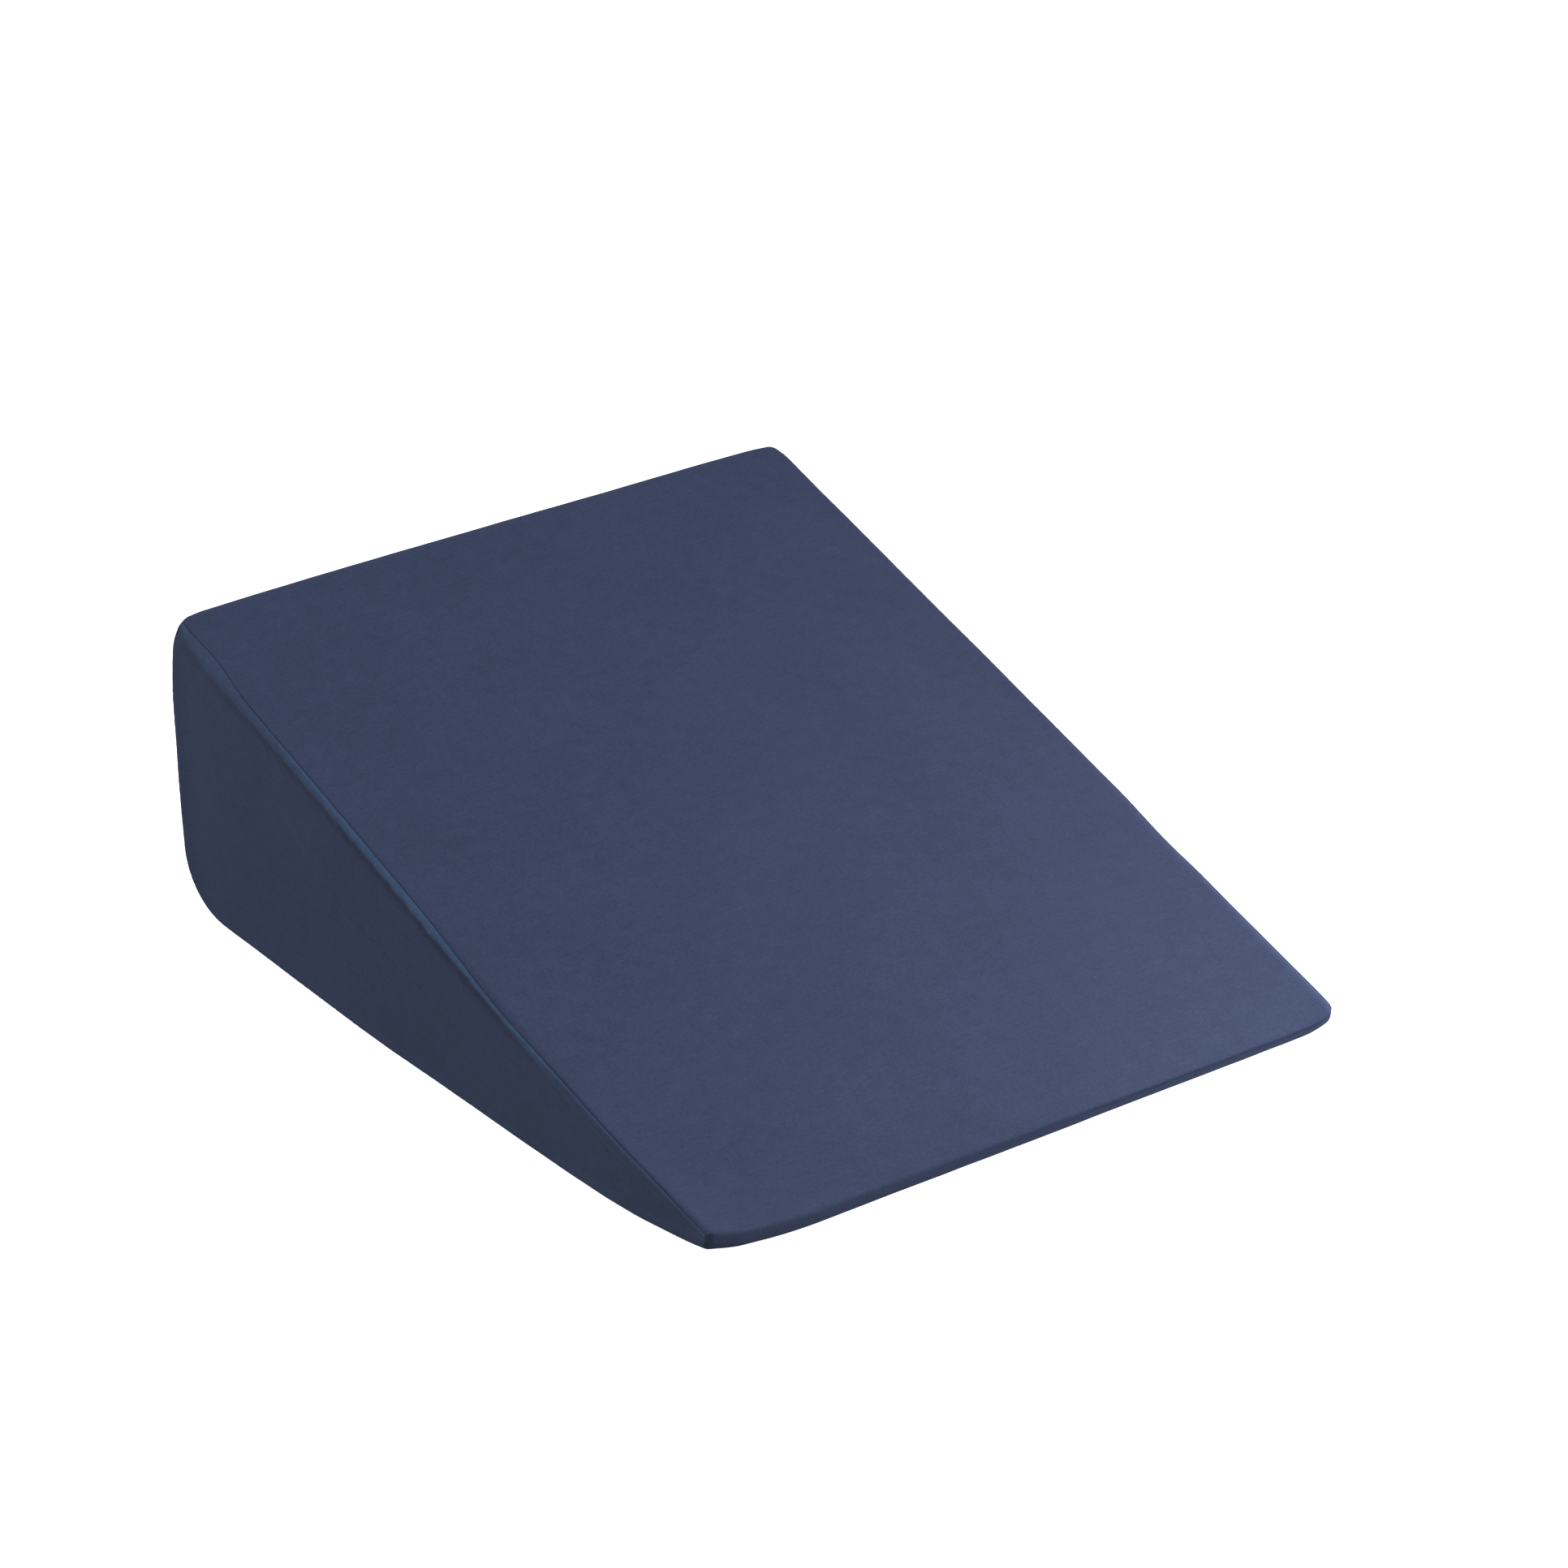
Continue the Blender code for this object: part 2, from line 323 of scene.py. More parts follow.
def make_columns(step, turn_share=1.0):
    """Stations round the side view: each lies between one arc's end and another's.

    Columns are the two corners, the two angles and the share of the way between them;
    on an arc both corners are the same and the share is nothing. A coarse table takes
    only a share of the steps round each corner.
    """
    rows = []
    for i, corner in enumerate(CORNERS):
        before, after = NORMALS[i - 1], NORMALS[i]
        start = math.atan2(-before[1], -before[0])
        turn = math.atan2(before[0] * after[1] - before[1] * after[0], before @ after)
        turns = max(2, round(corner["turns"] * turn_share))
        for k in range(turns + 1):
            angle = start + turn * k / turns
            rows.append((i, i, angle, angle, 0.0))
        j = (i + 1) % 4
        following = math.atan2(-after[1], -after[0])
        gap = np.linalg.norm(PLACES[j] - PLACES[i])
        count = max(2, round(gap / step))
        for k in range(1, count):
            rows.append((i, j, start + turn, following, k / count))
    table = np.array(rows)
    return dict(first=table[:, 0].astype(int), second=table[:, 1].astype(int),
                start=table[:, 2], end=table[:, 3], share=table[:, 4])


def side_view(inset, columns):
    """(along, up) of the outline moved in by the inset: a straight mix of two arc ends."""
    shape = np.broadcast_shapes(np.shape(inset), columns["share"].shape)
    inset = np.broadcast_to(inset, shape)
    first = arc_end(np.broadcast_to(columns["first"], shape),
                    np.broadcast_to(columns["start"], shape), inset)
    second = arc_end(np.broadcast_to(columns["second"], shape),
                     np.broadcast_to(columns["end"], shape), inset)
    share = columns["share"][:, None]
    return first * (1.0 - share) + second * share


def ease(distance, reach):
    """One at no distance, (1 - distance / reach) to a power further out, then nothing."""
    return np.clip(1.0 - np.maximum(0.0, distance) / reach, 0.0, 1.0) ** FALL


def bell(distance, width):
    """exp(-(distance / width) squared)."""
    return np.exp(-(distance / width) ** 2)


def smooth(value, low, high):
    """Nothing below the low value, one above the high one, 3t^2 - 2t^3 between."""
    share = np.clip((value - low) / (high - low), 0.0, 1.0)
    return share * share * (3.0 - 2.0 * share)


def slope_at(y):
    """Height of the slope above the resting surface, no less than the nose's."""
    return NOSE_THICKNESS + np.maximum(0.0, y - FRONT) * SLOPE_RISE


def settle(x, y, z, hand):
    """The true wedge once the cover has drawn in its corners, as sums of eased moves.

    The slope is crowned, the low tips curl up and in, and the high corners go in, forwards
    and down. Each side toes out towards the nose and its foot is drawn under, save where it
    bulges; the right side is also drawn in at its waist. The front corners are rounded as a
    square is mapped to a disc: each share (u, v) of the way to the corner becomes
    u sqrt(1 - v^2 / 2), v sqrt(1 - u^2 / 2). The nose's top edge is rolled down towards the
    right, and the four blunt corners are set last.
    """
    def by_hand(values):
        """The left side's value or the right one's."""
        return np.where(hand < 0, values[-1], values[1])

    from_side = SIDE - np.abs(x)
    from_front = y - FRONT
    to_peak = np.hypot(BACK - y, HEIGHT - z)
    near_side = ease(from_side, SIDE_REACH)
    crown = (SLOPE_CROWN * (1.0 - np.minimum(1.0, np.abs(x) / SIDE) ** 2)
             * np.sin(math.pi * np.clip(from_front / LENGTH, 0.0, 1.0))
             * np.clip(z / slope_at(y), 0.0, 1.0) ** 2)
    lift = (by_hand(TIP_LIFT) * ease(from_side, by_hand(TIP_REACH_ACROSS))
            * ease(from_front, by_hand(TIP_REACH_ALONG)))
    pull = by_hand(TIP_DRAW) * ease(from_front, TIP_DRAW_REACH) * near_side
    foot = (BASE_DRAW * ease(BASE_DRAW_FULL - y, BASE_DRAW_REACH)
            * ease(z, BASE_DRAW_HEIGHT) * near_side)
    foot = foot - (by_hand(FOOT_OUT) * bell(y - FOOT_OUT_AT, FOOT_OUT_REACH)
                   * ease(z, BASE_DRAW_HEIGHT) * near_side)
    peak = ease(to_peak, PEAK_REACH) * ease(from_side, PEAK_REACH)
    drop = (by_hand(PEAK_DROP) * ease(from_side, PEAK_DROP_REACH)
            * ease(to_peak, PEAK_DROP_REACH))
    toe = by_hand(TOE_OUT) * (1.0 - 2.0 * from_front / LENGTH) * near_side
    toe = toe - by_hand(TOP_DRAW) * ease(to_peak, TOP_DRAW_REACH) * near_side
    toe = toe - by_hand(WAIST_DRAW) * bell(y - WAIST, WAIST_REACH) * near_side
    radius = by_hand(TOE_ROUND)
    outwards = np.clip(1.0 - from_side / radius, 0.0, 1.0)
    forwards = np.clip(1.0 - from_front / radius, 0.0, 1.0)
    round_in = radius * outwards * (1.0 - np.sqrt(1.0 - forwards ** 2 / 2.0))
    round_back = radius * forwards * (1.0 - np.sqrt(1.0 - outwards ** 2 / 2.0))
    across = smooth(hand * np.abs(x), -SIDE, SIDE)
    drop = drop + ((CREASE_DROP[-1] * (1.0 - across) + CREASE_DROP[1] * across)
                   * ease(from_front, CREASE_DROP_REACH) * np.clip(z / slope_at(y), 0.0, 1.0))
    moved = np.stack([x + hand * (toe - pull - foot - PEAK_IN * peak - round_in),
                      y - PEAK_FORWARD * peak + round_back,
                      z + crown + lift + PEAK_UP * peak - drop], -1)
    for corner in BLUNT_CORNERS:
        to_corner = to_peak if corner["along"] == "back" else from_front
        near = ease(np.hypot(to_corner, from_side), BLUNT_REACH) * (hand == corner["hand"])
        moved += near[..., None] * np.array([-corner["hand"] * corner["into"],
                                             corner["ahead"], corner["up"]])
    return moved


def cover_points(hand, way, columns, depth=0.0):
    """Cover of one half: flat across, a quarter round over the foam's edge, then the side.

    The way runs outwards from the start of the rounding. Before it x is the way; over
    the edge x goes as the radius times the sine and the outline moves in by the radius
    times one less the cosine; on the side the outline shrinks towards its heart, and x is
    crowned by the product of 1 - exp(-distance / reach) from each of its four borders.
    The depth moves everything into the foam.
    """
    radius = EDGE_RADIUS - depth
    angle = np.clip(way / EDGE_RADIUS, 0.0, math.pi / 2)
    x = SIDE - EDGE_RADIUS + np.minimum(way, 0.0) + radius * np.sin(angle)
    inset = EDGE_RADIUS - radius * np.cos(angle)
    share = np.clip((way - EDGE_WAY) / FACE_WAY, 0.0, 1.0)
    outline = side_view(inset, columns)
    y = outline[..., 0] + (HEART[0] - outline[..., 0]) * share
    z = outline[..., 1] + (HEART[1] - outline[..., 1]) * share
    crown = smooth(share, 0.0, SIDE_CROWN_FULL)
    for border in (slope_at(y) - z, z, BACK - y, y - FRONT):
        crown = crown * (1.0 - np.exp(-np.maximum(border - EDGE_RADIUS, 0.0) / SIDE_CROWN_REACH))
    x = x + SIDE_CROWN * crown
    return settle(hand * x, y, z, hand)


def on_slope(columns):
    """One along the slope and nothing along the underside, eased over the end corners."""
    up = side_view(0.0, columns)
    share = up[:, 1] / slope_at(up[:, 0])
    return np.clip((share - ON_SLOPE_FROM) / ON_SLOPE_OVER, 0.0, 1.0)


def seam_way(hand, columns):
    """How far past the start of the rounding the seam lies: a level plus bell-shaped bends."""
    along, up = side_view(0.0, columns).T
    way = (SEAM_WAY[hand] + NOSE_BEND[hand] * bell(along - FRONT, NOSE_BEND_REACH)
           * smooth(up, 0.0, NOSE_BEND_UP))
    for bend in SEAM_BENDS[hand]:
        way += bend["way"] * bell(along - bend["at"], bend["reach"]) * on_slope(columns)
    return way


def lengths(points):
    """Way round a closed row of points, from nothing to the whole length."""
    steps = np.linalg.norm(np.roll(points, -1, 0) - points, axis=1)
    return np.concatenate([[0.0], np.cumsum(steps)])


def waves(place, wavelength, count, seed):
    """Smooth unevenness about one high: sines of random phase and slightly unlike length."""
    draw = np.random.default_rng(seed)
    place = place if place.ndim > 1 and place.shape[-1] == 3 else place[..., None]
    total = np.zeros(place.shape[:-1])
    for _ in range(count):
        heading = draw.normal(size=place.shape[-1])
        heading /= np.linalg.norm(heading)
        pitch = wavelength * draw.uniform(0.7, 1.5)
        total += np.sin(place @ heading * 2 * math.pi / pitch + draw.uniform(0, 2 * math.pi))
    return total / math.sqrt(count / 2)


def uneven(name, place, hand=0):
    """Height of the named unevenness: its height times its waves, shifted for the hand."""
    kind = UNEVEN[name]
    return kind["height"] * waves(place + kind["shift"] * hand, kind["pitch"], kind["count"],
                                  kind["seed"])


def strip_end(hand, columns):
    """Drop at which the rolled strip ends: a level, deeper at the back, that wanders."""
    along = lengths(side_view(0.0, columns))[:-1]
    y = side_view(0.0, columns)[:, 0]
    return (STRIP_DROP + STRIP_DROP_AT_BACK * smooth(y, STRIP_DEEPER_FROM, BACK)
            + uneven("strip_end_long", along, hand) + uneven("strip_end_short", along, hand))


def drop_at(way, columns):
    """How far the cover lies below the slope's plane, measured square to it."""
    inset = EDGE_RADIUS * (1.0 - np.cos(np.clip(way / EDGE_RADIUS, 0.0, math.pi / 2)))
    share = np.clip((way - EDGE_WAY) / FACE_WAY, 0.0, 1.0)
    outline = side_view(inset, columns)
    y = outline[..., 0] + (HEART[0] - outline[..., 0]) * share
    z = outline[..., 1] + (HEART[1] - outline[..., 1]) * share
    return (slope_at(y) - z) / math.hypot(1.0, SLOPE_RISE)


def strip_fade(columns):
    """One where the strip is plump, easing to nothing before the nose and round the back."""
    y = side_view(0.0, columns)[:, 0]
    return on_slope(columns) * smooth(y, STRIP_END, STRIP_END + STRIP_TAPER)


def below_crease(columns):
    """Way round the side view from the nose's top corner, growing down the nose."""
    along = lengths(side_view(0.0, columns))[:-1]
    return along - along[(columns["first"] == 3) & (columns["second"] == 3)].mean()


def dip_share(x):
    """The dip under the crease deepens towards the right and ends before the side."""
    return smooth(x, -DIP_GROWS, DIP_GROWS) * smooth(SIDE - x, 0.0, DIP_TAPER)


def relief(hand, way, points, columns):
    """Height of the cover above its smooth form, in metres.

    A bell-shaped valley at the seam, a rolled strip beside it (a squared sine from the
    seam to its end), a soft bell-shaped groove that ends the strip, small puckers square
    to the seam, broad faint unevenness, and at the nose a wavy crease, which ends past the
    foam's edge, with a dip below it.
    """
    seam = seam_way(hand, columns)
    end = strip_end(hand, columns)
    from_seam = way - seam
    along = lengths(side_view(0.0, columns))[:-1]
    fade = strip_fade(columns)
    sloped = on_slope(columns)
    shown = (PUCKER_LEAST + (1.0 - PUCKER_LEAST) * sloped) * PUCKER_SHARE[hand]
    valley = (-VALLEY_DEPTH[hand] * bell(from_seam, VALLEY_WIDTH)
              * (VALLEY_LEAST + (1.0 - VALLEY_LEAST) * sloped))
    drop = drop_at(way, columns)
    seam_drop = EDGE_RADIUS * (1.0 - np.cos(np.clip(seam / EDGE_RADIUS, 0.0, math.pi / 2)))
    across = np.clip((drop - seam_drop) / np.maximum(end - seam_drop, STRIP_LEAST), 0.0, 1.0)
    on_panel = from_seam > 0.0
    roll = ROLL_HEIGHT * np.sin(math.pi * np.sqrt(across)) ** 2 * fade * on_panel
    at_back = smooth(side_view(0.0, columns)[:, 0], GROOVE_SHALLOW_FROM, GROOVE_SHALLOW_TO)
    groove = (-GROOVE_DEPTH * bell(drop - end, GROOVE_WIDTH)
              * (1.0 - GROOVE_SHALLOWER * at_back) * fade * on_panel)
    pucker = uneven("puckers", along, hand) * shown * bell(from_seam - PUCKER_WAY, PUCKER_REACH)
    broad = uneven("broad", points) + uneven("small", points)
    x = points[..., 0]
    below = below_crease(columns)
    crease = (uneven("crease", x) * bell(below, CREASE_REACH)
              * (1.0 - smooth(way, EDGE_WAY, EDGE_WAY + CREASE_REACH)))
    dip = -DIP_DEPTH * bell(below - DIP_WAY, DIP_WIDTH) * dip_share(x)
    return valley + roll + groove + pucker + broad + crease + dip


def painted_shading(hand, way, columns):
    """Painted light and shade in the cloth's colour: painted highlight up to one, painted shade
    down to -2.

    The rolled strip has a painted highlight, lightest beside its seam and halfway down the slope,
    and its groove has painted shade. The seam has a painted dark line of shade, on the left with
    a painted highlight hairline beside it; on the right the slope's last few millimetres have a
    painted highlight, stronger towards the nose, and a painted dark line at the rim's far edge.
    The fold under the nose's crease has painted shade, darker towards the right.
    """
    seam = seam_way(hand, columns)
    y = side_view(0.0, columns)[:, 0]
    end = strip_end(hand, columns)
    past_end = drop_at(way, columns) - end
    on_panel = smooth(way - seam, PANEL_START, PANEL_FULL)
    # Painted highlight on the rolled strip, fading towards the back
    strip = on_panel * (1.0 - smooth(past_end, -STRIP_LIGHT_START, STRIP_LIGHT_END))
    level = 1.0 - STRIP_LIGHT_FALL * smooth(y, STRIP_LIGHT_FALL_FROM, STRIP_LIGHT_FALL_TO)
    # Painted shade in the groove that ends the strip
    groove = (GROOVE_SHADE * on_panel * bell(past_end - GROOVE_SHADE_WAY, GROOVE_SHADE_WIDTH)
              * (GROOVE_SHADE_AT_BACK + (1.0 - GROOVE_SHADE_AT_BACK) * smooth(-y, -BACK, 0.0)))
    # Painted shade along the seam, darker towards the back
    seam_shade = (bell(way - seam, STITCH_WIDTH)
              * (STITCH_SHADE + STITCH_SHADE_AT_BACK * smooth(y, STITCH_DARKER_FROM, BACK)))
    # Painted highlight hairline by the left seam; on the right a painted highlight on the rim and
    # painted shade at its far edge
    if hand < 0:
        border = (HAIRLINE * bell(way - seam - HAIRLINE_WAY, HAIRLINE_WIDTH)
                  * smooth(-y, -HAIRLINE_TO, -HAIRLINE_FROM))
    else:
        border = (RIM_LIGHT * bell(way - RIM_LIGHT_WAY, RIM_LIGHT_WIDTH)
                  * smooth(-y, RIM_LIGHT_FROM, RIM_LIGHT_TO)
                  - RIM_DARK * bell(way - RIM_DARK_WAY, RIM_DARK_WIDTH))
    x = hand * np.minimum(SIDE + way - EDGE_WAY, SIDE)
    # Painted shade in the fold under the nose's crease
    fold = FOLD_SHADE * bell(below_crease(columns) - DIP_WAY, FOLD_WIDTH) * dip_share(x)
    return ((STRIP_LIGHT * strip * level - groove) * strip_fade(columns)
            + (border - seam_shade) * on_slope(columns) - fold)


def spline_weights(part):
    """The four weights of a uniform cubic B-spline at a part of the way along a step."""
    rest = 1.0 - part
    return (rest ** 3 / 6.0, (3.0 * part ** 3 - 6.0 * part ** 2 + 4.0) / 6.0,
            (3.0 * rest ** 3 - 6.0 * rest ** 2 + 4.0) / 6.0, part ** 3 / 6.0)


def swell_cover():
    """How the taut cover moves as the foam swells in it, on a coarse grid.

    The closed cover starts a little too small, save where it turns over an edge, and is
    simulated as cloth under pressure, without gravity. Its seams are held fast, and the
    foam holds the rest softly in proportion to the area round each point, a little
    unevenly and more firmly on its cut ends. No point moves further than the cap.
    """
    columns = make_columns(SWELL_STEP, SWELL_TURNS)
    middle = SIDE - EDGE_RADIUS
    flat = np.linspace(-middle, 0.0, round(middle / SWELL_STEP) + 1)
    over = np.linspace(0.0, EDGE_WAY, SWELL_OVER_STEPS + 1)[1:]
    face = EDGE_WAY + FACE_WAY * np.linspace(0.0, SWELL_FACE_END, SWELL_FACE_STEPS + 1)[1:]
    ways = np.concatenate([flat, over, face])
    places = lengths(side_view(0.0, columns))
    target = {}
    start = {}
    weight = {}
    for hand in (-1, 1):
        target[hand] = cover_points(hand, ways[:, None], columns)
        seam = bell(ways[:, None] - seam_way(hand, columns), SEAM_HOLD_REACH)
        normal = grid_normals(target[hand], hand)
        turn = (np.linalg.norm(np.roll(normal, -1, 1) - np.roll(normal, 1, 1), axis=-1)
                + np.linalg.norm(np.gradient(normal, axis=0), axis=-1))
        inset = SWELL_START * (1.0 - seam) * (1.0 - smooth(turn, *TURN_FULL_SIZE))
        start[hand] = target[hand] - inset[..., None] * normal
        along = (np.roll(target[hand], -1, 1) - np.roll(target[hand], 1, 1)) / 2
        area = np.linalg.norm(np.cross(np.gradient(target[hand], axis=0), along), axis=-1)
        firmness = 1.0 + (FACE_HOLD - 1.0) * smooth(ways, EDGE_WAY, RIM_WAY)[:, None]
        foam = FOAM_HOLD * firmness * area / SWELL_STEP ** 2
        foam *= 1.0 + uneven("foam", target[hand])
        firm = np.maximum(seam, TURN_HOLD * smooth(turn, *TURN_HELD))
        weight[hand] = np.maximum(firm, np.clip(foam, FOAM_LEAST, 1.0))

    def whole(halves):
        """Both halves as one run of rows from the left end to the right one."""
        return np.concatenate([halves[-1][::-1], halves[1][1:]])

    count = len(ways) - 1
    swell = dict(ways=ways, shares=places / places[-1], middle=count,
                 moves=np.zeros_like(whole(target)))
    points, hold = whole(start), whole(weight)
    hearts = [points[0].mean(0), points[-1].mean(0)]
    blank = np.zeros((len(points), points.shape[1] + 1))
    cover = grid_mesh("swelling_cover", points, blank, blank,
                      [(False, hearts[0]), (True, hearts[1])], flip=False)
    group = cover.vertex_groups.new(name="hold")
    levels = np.round(hold.ravel(), 2)
    for level in np.unique(levels):
        group.add(np.flatnonzero(levels == level).tolist(), float(level), "REPLACE")
    cloth = cover.modifiers.new("swell", "CLOTH")
    settings = cloth.settings
    settings.quality = 6
    settings.mass = 0.10
    settings.tension_stiffness = 15.0
    settings.compression_stiffness = 15.0
    settings.shear_stiffness = 5.0
    settings.bending_stiffness = 0.5
    settings.use_pressure = True
    settings.uniform_pressure_force = SWELL_PRESSURE
    settings.vertex_group_mass = "hold"
    settings.pin_stiffness = FOAM_STIFFNESS
    settings.effector_weights.gravity = 0.0
    cloth.collision_settings.use_collision = False
    cloth.point_cache.frame_start = 1
    cloth.point_cache.frame_end = SWELL_FRAMES
    for step in range(1, SWELL_FRAMES + 1):
        bpy.context.scene.frame_set(step)
    made = cover.evaluated_get(bpy.context.evaluated_depsgraph_get()).data
    place = np.empty(len(made.vertices) * 3)
    made.vertices.foreach_get("co", place)
    moved = place.reshape(-1, 3)[:hold.size].reshape(points.shape) - points
    bpy.context.scene.frame_set(1)
    mesh = cover.data
    bpy.data.objects.remove(cover)
    bpy.data.meshes.remove(mesh)
    far = np.linalg.norm(moved, axis=-1, keepdims=True)
    moved *= np.minimum(1.0, SWELL_CAP / np.maximum(far, 1e-9))
    swell["moves"] = points + moved - whole(target)
    return swell


def swollen(swell, hand, way, columns):
    """Moves of the simulated cover at these ways and columns, blended by cubic B-splines."""
    places = lengths(side_view(0.0, columns))
    shares = places[:-1] / places[-1]
    column = np.interp(shares, swell["shares"], np.arange(len(swell["shares"])))
    row = swell["middle"] + hand * np.interp(way, swell["ways"], np.arange(len(swell["ways"])))
    moves = swell["moves"]
    base = np.floor(column).astype(int)
    mixed = sum(moves[:, (base + k - 1) % moves.shape[1]] * weight[:, None]
                for k, weight in enumerate(spline_weights(column - base)))
    base = np.floor(row).astype(int)
    station = np.arange(len(shares))
    return sum(mixed[np.clip(base + k - 1, 0, len(moves) - 1), station] * weight[..., None]
               for k, weight in enumerate(spline_weights(row - base)))


def grid_normals(points, hand):
    """Outward unit normals of a grid that closes round its columns, from its neighbours."""
    across = np.gradient(points, axis=0)
    around = np.roll(points, -1, 1) - np.roll(points, 1, 1)
    normal = np.cross(around, across) * hand
    return normal / np.maximum(np.linalg.norm(normal, axis=-1, keepdims=True), 1e-12)


def grid_mesh(name, points, across, around, ends, flip, painted_light_and_shade=None):
    """Mesh over a grid of rows that close round; a fan closes each given end.

    Vertex (row, column) is row times the column count plus column. The uv map holds the
    ways across and around the cloth, in metres, and the optional point attribute holds the
    painted highlight and painted shade.
    """
    rows, columns = points.shape[:2]
    row, column = np.meshgrid(np.arange(rows - 1), np.arange(columns), indexing="ij")
    following = (column + 1) % columns
    quads = np.stack([row * columns + column, row * columns + following,
                      (row + 1) * columns + following, (row + 1) * columns + column], -1)
    quad_uv = np.stack([
        np.stack([across[row, column], around[row, column]], -1),
        np.stack([across[row, following], around[row, column + 1]], -1),
        np.stack([across[row + 1, following], around[row + 1, column + 1]], -1),
        np.stack([across[row + 1, column], around[row + 1, column]], -1)], -2)
    vertices = [points.reshape(-1, 3)]
    corners = [quads.reshape(-1, 4).ravel()]
    coordinates = [quad_uv.reshape(-1, 2)]
    sizes = [np.full((rows - 1) * columns, 4)]
    count = rows * columns
    column = np.arange(columns)
    following = (column + 1) % columns
    for last, end in ends:
        base = (rows - 1) * columns if last else 0
        order = [base + column, base + following, np.full(columns, count)]
        edge = rows - 1 if last else 0
        turn = [np.stack([across[edge, column], around[edge, column]], -1),
                np.stack([across[edge, following], around[edge, column + 1]], -1),
                np.broadcast_to([across[edge].mean(), around[edge].mean()], (columns, 2))]
        if not last:
            order, turn = order[::-1], turn[::-1]
        vertices.append(np.asarray(end, float)[None])
        corners.append(np.stack(order, -1).ravel())
        coordinates.append(np.stack(turn, 1).reshape(-1, 2))
        sizes.append(np.full(columns, 3))
        count += 1
    mesh = bpy.data.meshes.new(name)
    place, loops = np.concatenate(vertices), np.concatenate(corners)
    size, uv = np.concatenate(sizes), np.concatenate(coordinates)
    mesh.vertices.add(len(place))
    mesh.vertices.foreach_set("co", place.ravel())
    mesh.loops.add(len(loops))
    mesh.loops.foreach_set("vertex_index", loops)
    mesh.polygons.add(len(size))
    mesh.polygons.foreach_set("loop_start", np.concatenate([[0], np.cumsum(size)[:-1]]))
    mesh.update(calc_edges=True)
    layer = mesh.uv_layers.new(name="cloth")
    layer.uv.foreach_set("vector", uv.ravel())
    if painted_light_and_shade is not None:
        # Point attribute of painted light and shade for the cloth's colour
        shade = mesh.attributes.new("painted_shading", "FLOAT", "POINT")
        shade.data.foreach_set("value", np.pad(painted_light_and_shade.ravel(), (0, len(ends))))
    if flip:
        mesh.flip_normals()
    mesh.validate()
    mesh.shade_smooth()
    thing = bpy.data.objects.new(name, mesh)
    bpy.context.scene.collection.objects.link(thing)
    return thing


def eased_ways(start, end, fine, coarse, grow):
    """Ways from one end to the other: steps start fine and grow by a ratio to the coarse."""
    steps = []
    step = fine
    while sum(steps) < abs(end - start):
        steps.append(step)
        step = min(step * grow, coarse)
    ways = np.concatenate([[0.0], np.cumsum(steps)])
    return start + (end - start) * ways / ways[-1]


def eased_shares(length, fine, coarse, grow):
    """Shares of a length, from nothing to one, whose steps are eased in the same way."""
    return eased_ways(0.0, 1.0, fine / length, coarse / length, grow)


def rested(points):
    """The points with none below the resting surface."""
    points[..., 2] = np.maximum(points[..., 2], 0.0)
    return points


def dressed(hand, way, columns, swell):
    """Swollen cover of one half with the relief raised along the outward normals.

    The normals point outwards where the rows run towards the side, and inwards otherwise.
    """
    points = cover_points(hand, way, columns) + swollen(swell, hand, way, columns)
    height = relief(hand, way, points, columns) * np.sign(way[-1, 0] - way[0, 0])
    return rested(points + grid_normals(points, hand) * height[..., None])


def half_band(hand, columns, swell):
    """(rows of points, way across, painted light and shade) of the band from one seam to the
    middle line.
    """
    seam = seam_way(hand, columns)
    middle = SIDE - EDGE_RADIUS
    shares = eased_shares(middle, **BAND_STEPS)
    way = seam[None, :] - shares[:, None] * (seam[None, :] + middle)
    return dressed(hand, way, columns, swell), hand * (middle + way), painted_shading(hand, way, columns)


def hidden_end(hand, columns, swell):
    """Rows of the foam's end under the side panel, from the seam's foot to the heart."""
    seam = seam_way(hand, columns)
    ways = [seam, seam + HIDDEN_RIM * (RIM_WAY - seam), np.full_like(seam, RIM_WAY)]
    ways.extend(np.full_like(seam, EDGE_WAY + part * FACE_WAY) for part in HIDDEN_SHARES)
    ways = np.array(ways)
    return rested(cover_points(hand, ways, columns, depth=HIDDEN_DEPTH)
                  + swollen(swell, hand, ways, columns))


def cover_band(columns, swell):
    """Band panel over the foam, one closed piece: left end, left half, right half, right end."""
    left, left_across, left_shading = half_band(-1, columns, swell)
    right, right_across, right_shading = (part[::-1] for part in half_band(1, columns, swell))
    left_end, right_end = hidden_end(-1, columns, swell), hidden_end(1, columns, swell)
    points = np.concatenate([left_end[::-1], left, right[1:], right_end])
    across = np.concatenate([
        np.broadcast_to(left_across[0], left_end.shape[:2]), left_across,
        right_across[1:], np.broadcast_to(right_across[-1], right_end.shape[:2])])
    # Painted light and shade of both halves; none on the hidden ends
    painted_light_and_shade = np.concatenate([np.zeros(left_end.shape[:2]), left_shading, right_shading[1:],
                             np.zeros(right_end.shape[:2])])
    around = np.broadcast_to(lengths(side_view(0.0, columns)), (len(points), points.shape[1] + 1))
    end = np.array([[EDGE_WAY + FACE_WAY]])
    hearts = [cover_points(hand, end, columns, depth=HIDDEN_DEPTH)[0, 0] for hand in (-1, 1)]
    return grid_mesh("cover_band", points, across, around,
                     [(False, hearts[0]), (True, hearts[1])], flip=False, painted_light_and_shade=painted_light_and_shade)


